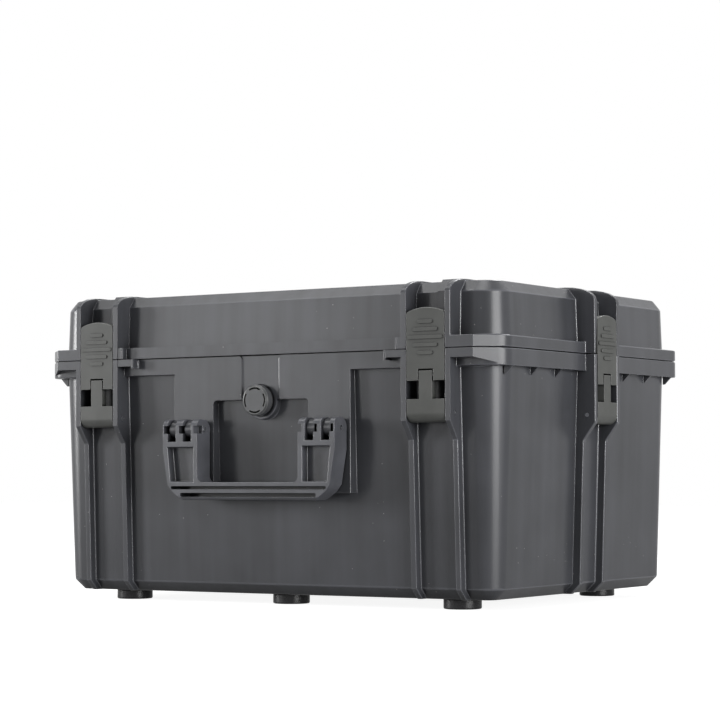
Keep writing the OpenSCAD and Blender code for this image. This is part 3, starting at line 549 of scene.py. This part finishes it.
# %% Handle and valve
mould("carry_handle", ["handle"], "handle", HANDLE_SKIN, HANDLE_EDGE_WEAR_AND_HIGHLIGHT, 0.9, 0.8)
mould("valve_cap", ["valve_knob"], "valve_knob", VALVE_SKIN, LATCH_EDGE_WEAR_AND_HIGHLIGHT, 0.45, 0.3)
mould("valve_stem", ["valve_body", "valve_nut"], "base",
      VALVE_SKIN, VALVE_SKIN, 0.4, 0.3)
for side in ("left", "right"):
    mould(f"handle_pin_{side}_steel", [f"handle_pin_{side}"], "base",
          PIN_STEEL, PIN_STEEL, 0.5, 0.5)
mould("hinge_rod_steel", ["hinge_rod"], "base", PIN_STEEL, PIN_STEEL, 0.8, 0.8)

# %% [markdown]
# ## A geometry tree that can be reused
# Feet, screws and the seal are made by rules, so each comes from a small Geometry Nodes tree
# with named sizes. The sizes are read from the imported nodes, which keeps the new pieces in the
# places of the old ones. The result is turned into a plain mesh before it joins its body.

# %% Start a tree and grow a piece from it


def start_tree(name, sizes):
    """Starts a geometry tree with named size inputs, and returns it with its input sockets."""
    tree = bpy.data.node_groups.new(name, "GeometryNodeTree")
    tree.interface.new_socket("Geometry", in_out="OUTPUT", socket_type="NodeSocketGeometry")
    for label, value in sizes.items():
        size = tree.interface.new_socket(label, in_out="INPUT", socket_type="NodeSocketFloat")
        size.default_value = value
    entry = tree.nodes.new("NodeGroupInput")
    return tree, {label: entry.outputs[label] for label in sizes}


def end_tree(tree, shape, material):
    """Ends a tree in real geometry with a material."""
    solid = add_node(tree, "GeometryNodeRealizeInstances", {0: shape})
    smooth = add_node(tree, "GeometryNodeSetShadeSmooth", {0: solid.outputs[0]})
    painted = add_node(tree, "GeometryNodeSetMaterial", {0: smooth.outputs[0],
                                                         "Material": material})
    add_node(tree, "NodeGroupOutput", {0: painted.outputs[0]})


def grow(name, tree, sizes, body, nodes):
    """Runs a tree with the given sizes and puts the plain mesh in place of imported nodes."""
    piece = bpy.data.objects.new(name, bpy.data.meshes.new(name))
    bpy.context.scene.collection.objects.link(piece)
    maker = piece.modifiers.new("maker", "NODES")
    maker.node_group = tree
    for item in tree.interface.items_tree:
        if item.in_out == "INPUT":
            maker[item.identifier] = sizes[item.name]
    flat = piece.modifiers.new("flat_faces", "WEIGHTED_NORMAL")
    flat.weight = 80
    piece.data = finished_mesh(piece)
    for number in reversed(range(len(piece.data.materials))):
        if piece.data.materials[number] is None:
            piece.data.materials.pop(index=number)
    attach(piece, body)
    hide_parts(*nodes)
    low, high = (Vector([pick(v.co[i] for v in piece.data.vertices) for i in range(3)])
                 for pick in (min, max))
    print(name, "faces:", len(piece.data.polygons), "mm:", [round(c / MM, 1) for c in high - low])
    return piece


def half_of(tree, socket):
    """Adds a node that halves a size."""
    return add_node(tree, "ShaderNodeMath", {0: socket, 1: 0.5}, operation="MULTIPLY").outputs[0]


def sum_of(tree, one, other, operation="ADD"):
    """Adds a node that adds or subtracts two sizes."""
    return add_node(tree, "ShaderNodeMath", {0: one, 1: other}, operation=operation).outputs[0]


def lifted(tree, shape, height):
    """Moves a shape up by a size."""
    rise = add_node(tree, "ShaderNodeCombineXYZ", {"Z": height})
    return add_node(tree, "GeometryNodeTransform", {0: shape,
                                                    "Translation": rise.outputs[0]}).outputs[0]


def rounded_bar(tree, width, height, round_size, steps=4):
    """Adds the outline of a rectangle with rounded corners, as a curve."""
    outline = add_node(tree, "GeometryNodeCurvePrimitiveQuadrilateral",
                       {"Width": width, "Height": height})
    fillet = add_node(tree, "GeometryNodeFilletCurve", {0: outline.outputs[0], "Radius": round_size,
                                                        "Count": steps}, mode="POLY")
    return fillet.outputs[0]


def ring(tree, outer, inner, low, high, round_size):
    """Sweeps a rounded bar round the Z axis: a ring between two radii and two heights."""
    path = add_node(tree, "GeometryNodeCurvePrimitiveCircle",
                    {"Resolution": 72, "Radius": half_of(tree, sum_of(tree, outer, inner))})
    bar = rounded_bar(tree, sum_of(tree, outer, inner, "SUBTRACT"),
                      sum_of(tree, high, low, "SUBTRACT"), round_size)
    swept = add_node(tree, "GeometryNodeCurveToMesh", {0: path.outputs[0], 1: bar})
    return lifted(tree, swept.outputs[0], half_of(tree, sum_of(tree, high, low)))


# %% [markdown]
# ## Six round feet
# Each foot is a rubber puck with a well for its screw. The puck is a rounded bar swept round
# an axis, with a thin web inside the well, and a grid of points carries all six.

# %% Feet
foot_low, foot_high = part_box("foot_front_right")
rear_low, rear_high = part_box("foot_rear_left")
FOOT_SIZES = {
    "Foot radius": (foot_high.x - foot_low.x) / 2,
    "Foot height": foot_high.z,
    "Well radius": 5.2 * MM,
    "Well depth": 5.0 * MM,
    "Screw hole": 2.7 * MM,
    "Edge round": 1.4 * MM,
    "Pitch X": foot_low.x - rear_low.x,
    "Pitch Y": rear_low.y - foot_low.y,
}
SMALL = 0.2 * MM
feet_tree, size = start_tree("feet_on_a_grid", FOOT_SIZES)
puck = ring(feet_tree, size["Foot radius"], size["Well radius"], 0.0, size["Foot height"],
            size["Edge round"])
web = ring(feet_tree, sum_of(feet_tree, size["Well radius"], size["Edge round"]),
           size["Screw hole"], size["Well depth"], sum_of(feet_tree, size["Foot height"], -SMALL),
           SMALL)
foot_shape = add_node(feet_tree, "GeometryNodeJoinGeometry", {0: puck})
feet_tree.links.new(web, foot_shape.inputs[0])
grid = add_node(feet_tree, "GeometryNodeMeshGrid",
                {"Size X": size["Pitch X"], "Size Y": size["Pitch Y"], "Vertices X": 3,
                 "Vertices Y": 2})
six = add_node(feet_tree, "GeometryNodeInstanceOnPoints",
               {"Points": grid.outputs[0], "Instance": foot_shape.outputs[0]})
end_tree(feet_tree, six.outputs[0], FOOT_RUBBER)
FOOT_NODES = [f"foot_{side}_{column}" for side in ("front", "rear")
              for column in ("left", "middle", "right")]
grow("round_feet", feet_tree, FOOT_SIZES, "base", FOOT_NODES)

# %% [markdown]
# ## Foot screws
# Thread-forming screws for plastic have a domed head with a cross recess and a coarse thread.
# The head is a flattened ball cut off at its seat, with a cross cut out of it. The thread is a
# small bar swept along a spiral round the core.

# %% Foot screws
screw_low, screw_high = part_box("foot_screws")
SCREW_SIZES = {
    "Head radius": 4.8 * MM,
    "Head top": screw_low.z,
    "Seat height": 5.0 * MM,
    "Recess length": 5.4 * MM,
    "Recess width": 1.2 * MM,
    "Recess depth": 2.2 * MM,
    "Core radius": 2.05 * MM,
    "Thread round": 0.4 * MM,
    "Thread turns": 6.0,
    "Tip height": screw_high.z,
    "Pitch X": FOOT_SIZES["Pitch X"],
    "Pitch Y": FOOT_SIZES["Pitch Y"],
}
screw_tree, size = start_tree("screws_on_a_grid", SCREW_SIZES)
head_height = sum_of(screw_tree, size["Seat height"], size["Head top"], "SUBTRACT")
ball = add_node(screw_tree, "GeometryNodeMeshUVSphere",
                {"Segments": 40, "Rings": 24, "Radius": 1.0})
ball_scale = add_node(screw_tree, "ShaderNodeCombineXYZ", {0: size["Head radius"],
                                                           1: size["Head radius"], 2: head_height})
dome = add_node(screw_tree, "GeometryNodeTransform", {0: ball.outputs[0],
                                                      "Scale": ball_scale.outputs[0]})
below = add_node(screw_tree, "GeometryNodeMeshCube", {"Size": (20 * MM, 20 * MM, 20 * MM)})
lower = add_node(screw_tree, "GeometryNodeTransform", {0: below.outputs[0],
                                                       "Translation": (0, 0, 10 * MM)})
slots = []
for turned in (False, True):
    long_way, short_way = size["Recess length"], size["Recess width"]
    slot_size = add_node(screw_tree, "ShaderNodeCombineXYZ",
                         {0: short_way if turned else long_way,
                          1: long_way if turned else short_way, 2: size["Recess depth"]})
    slot = add_node(screw_tree, "GeometryNodeMeshCube", {"Size": slot_size.outputs[0]})
    drop = sum_of(screw_tree, half_of(screw_tree, size["Recess depth"]), head_height, "SUBTRACT")
    slots.append(lifted(screw_tree, slot.outputs[0], drop))
head = add_node(screw_tree, "GeometryNodeMeshBoolean", {0: dome.outputs[0], 1: lower.outputs[0]},
                operation="DIFFERENCE", solver="EXACT")
for slot in slots:
    screw_tree.links.new(slot, head.inputs[1])
head_in_place = lifted(screw_tree, head.outputs[0], size["Seat height"])
shank_length = sum_of(screw_tree, size["Tip height"], size["Seat height"], "SUBTRACT")
shank = add_node(screw_tree, "GeometryNodeMeshCylinder",
                 {"Vertices": 24, "Radius": size["Core radius"], "Depth": shank_length})
shank_middle = half_of(screw_tree, sum_of(screw_tree, size["Tip height"], size["Seat height"]))
core = lifted(screw_tree, shank.outputs[0], shank_middle)
thread_length = sum_of(screw_tree, shank_length, -1.5 * MM)
spiral = add_node(screw_tree, "GeometryNodeCurveSpiral",
                  {"Resolution": 20, "Rotations": size["Thread turns"],
                   "Start Radius": size["Core radius"], "End Radius": size["Core radius"],
                   "Height": thread_length})
crest = add_node(screw_tree, "GeometryNodeCurvePrimitiveCircle",
                 {"Resolution": 4, "Radius": size["Thread round"]})
thread = add_node(screw_tree, "GeometryNodeCurveToMesh",
                  {0: spiral.outputs[0], 1: crest.outputs[0], "Fill Caps": True})
thread_in_place = lifted(screw_tree, thread.outputs[0],
                         sum_of(screw_tree, size["Seat height"], 0.75 * MM))
screw = add_node(screw_tree, "GeometryNodeJoinGeometry", {0: head_in_place})
screw_tree.links.new(core, screw.inputs[0])
screw_tree.links.new(thread_in_place, screw.inputs[0])
grid = add_node(screw_tree, "GeometryNodeMeshGrid",
                {"Size X": size["Pitch X"], "Size Y": size["Pitch Y"], "Vertices X": 3,
                 "Vertices Y": 2})
six = add_node(screw_tree, "GeometryNodeInstanceOnPoints",
               {"Points": grid.outputs[0], "Instance": screw.outputs[0]})
end_tree(screw_tree, six.outputs[0], SCREW_STEEL)
grow("foot_screw_set", screw_tree, SCREW_SIZES, "base", ["foot_screws"])

# %% [markdown]
# ## The lid's seal
# The seal is one endless cord of foamed silicone in the lid's groove. Its path is a rectangle
# with rounded corners that follows the rim, and its section is a soft-cornered bar.

# %% Seal
seal_low, seal_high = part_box("lid_seal")
SEAL_WIDTH = 5.4 * MM
SEAL_SIZES = {
    "Path width": seal_high.x - seal_low.x - SEAL_WIDTH,
    "Path depth": seal_high.y - seal_low.y - SEAL_WIDTH,
    "Corner radius": 28.5 * MM,
    "Seal width": SEAL_WIDTH,
    "Seal height": seal_high.z - seal_low.z,
    "Section round": 1.5 * MM,
    "Middle height": (seal_high.z + seal_low.z) / 2,
}
seal_tree, size = start_tree("seal_along_the_rim", SEAL_SIZES)
rim = rounded_bar(seal_tree, size["Path width"], size["Path depth"], size["Corner radius"], 16)
section = rounded_bar(seal_tree, size["Seal width"], size["Seal height"], size["Section round"])
cord = add_node(seal_tree, "GeometryNodeCurveToMesh", {0: rim, 1: section})
end_tree(seal_tree, lifted(seal_tree, cord.outputs[0], size["Middle height"]), SEAL_SILICONE)
grow("lid_gasket", seal_tree, SEAL_SIZES, "lid", ["lid_seal"])
print("seal node mm:", [round(c / MM, 1) for c in seal_high - seal_low])

# %% [markdown]
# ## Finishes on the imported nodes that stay
# Two small parts inside the valve are right as they are and only need their materials.

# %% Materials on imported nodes


def dress(node, material):
    """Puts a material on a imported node, whose mesh stays as it is."""
    mesh_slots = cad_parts[node].data.materials
    if not mesh_slots:
        mesh_slots.append(material)
    for i in range(len(mesh_slots)):
        mesh_slots[i] = material
    print(node, "gets", material.name)


dress("valve_seal", SEAL_SILICONE)
dress("valve_membrane", VENT_CLOTH)

# %% [markdown]
# ## Floor and light
# The floor is matt grey, so that it throws little light back onto the case. Its paint glows for
# the camera, and more softly for mirrored rays, so the ground looks plain white and keeps the
# soft shadow. The world is white for the same rays and dim for all others. The light on the
# case comes from a few large lamps, as from the soft boxes of a studio, and the one right above
# reaches into the open case.

# %% Floor and light
bpy.context.scene.view_settings.view_transform = "Standard"


def add_lamp(name, round_degrees, up_degrees, width, height, power):
    """Adds a soft box that faces the case, placed by its angle from the front and its lift."""
    light = bpy.data.lights.new(name, "AREA")
    light.shape = "RECTANGLE"
    light.size, light.size_y = width, height
    light.energy = power
    lamp = bpy.data.objects.new(name, light)
    bpy.context.scene.collection.objects.link(lamp)
    turn, lift = math.radians(round_degrees), math.radians(up_degrees)
    away = Vector((math.sin(turn) * math.cos(lift), -math.cos(turn) * math.cos(lift),
                   math.sin(lift)))
    lamp.location = Vector((0, 0, 0.15)) + away * LAMP_DISTANCE
    lamp.rotation_euler = away.to_track_quat("Z", "Y").to_euler()


LAMP_DISTANCE = 3.2
add_lamp("right_key", 71, 6, 1.9, 1.0, 104)
add_lamp("left_key", -60, 8, 0.6, 0.9, 76)
add_lamp("front_left", -33, 8, 0.5, 0.9, 12)
add_lamp("high_left", -58, 56, 1.1, 1.1, 22)
add_lamp("rear_light", 180, 52, 1.2, 1.0, 52)
add_lamp("top_light", -10, 82, 1.5, 1.5, 45)

CAMERA_WHITE = 0.9
MIRROR_WHITE = 0.3
world = bpy.data.worlds.new("studio")
bpy.context.scene.world = world
world.use_nodes = True
sky = world.node_tree
fill = sky.nodes["Background"]
fill.inputs["Color"].default_value = (1, 1, 1, 1)
fill.inputs["Strength"].default_value = 0.1
seen = add_node(sky, "ShaderNodeBackground", {"Color": (1, 1, 1, 1), "Strength": 1.0})
ray = add_node(sky, "ShaderNodeLightPath")
camera_or_gloss = add_node(sky, "ShaderNodeMath", {0: ray.outputs["Is Camera Ray"],
                                                   1: ray.outputs["Is Glossy Ray"]},
                           operation="MAXIMUM")
straight = add_node(sky, "ShaderNodeMath", {0: camera_or_gloss.outputs[0],
                                            1: ray.outputs["Is Transmission Ray"]},
                    operation="MAXIMUM")
backdrop = add_node(sky, "ShaderNodeMixShader", {0: straight.outputs[0], 1: fill.outputs[0],
                                                 2: seen.outputs[0]})
sky.links.new(backdrop.outputs[0], sky.nodes["World Output"].inputs["Surface"])

floor_paint = bpy.data.materials.new("studio_floor")
floor_paint.use_nodes = True
paint = floor_paint.node_tree
matt = paint.nodes["Principled BSDF"]
matt.inputs["Base Color"].default_value = linear_colour("#8C8C8C")
matt.inputs["Roughness"].default_value = 0.9
ray = add_node(paint, "ShaderNodeLightPath")
seen_straight = add_node(paint, "ShaderNodeMath", {0: ray.outputs["Is Camera Ray"],
                                                   1: CAMERA_WHITE}, operation="MULTIPLY")
mirrored = add_node(paint, "ShaderNodeMath", {0: ray.outputs["Is Glossy Ray"],
                                              1: ray.outputs["Is Transmission Ray"]},
                    operation="MAXIMUM")
seen_mirrored = add_node(paint, "ShaderNodeMath", {0: mirrored.outputs[0], 1: MIRROR_WHITE},
                         operation="MULTIPLY")
lit = add_node(paint, "ShaderNodeMath", {0: seen_straight.outputs[0],
                                         1: seen_mirrored.outputs[0]}, operation="ADD")
matt.inputs["Emission Color"].default_value = (1, 1, 1, 1)
paint.links.new(lit.outputs[0], matt.inputs["Emission Strength"])

FLOOR_SIZE = 12.0
floor_mesh = bpy.data.meshes.new("floor")
half = FLOOR_SIZE / 2
floor_mesh.from_pydata([(-half, -half, 0), (half, -half, 0), (half, half, 0), (-half, half, 0)],
                       [], [(0, 1, 2, 3)])
floor_mesh.materials.append(floor_paint)
floor = bpy.data.objects.new("floor", floor_mesh)
bpy.context.scene.collection.objects.link(floor)
print("floor:", FLOOR_SIZE, "m square")
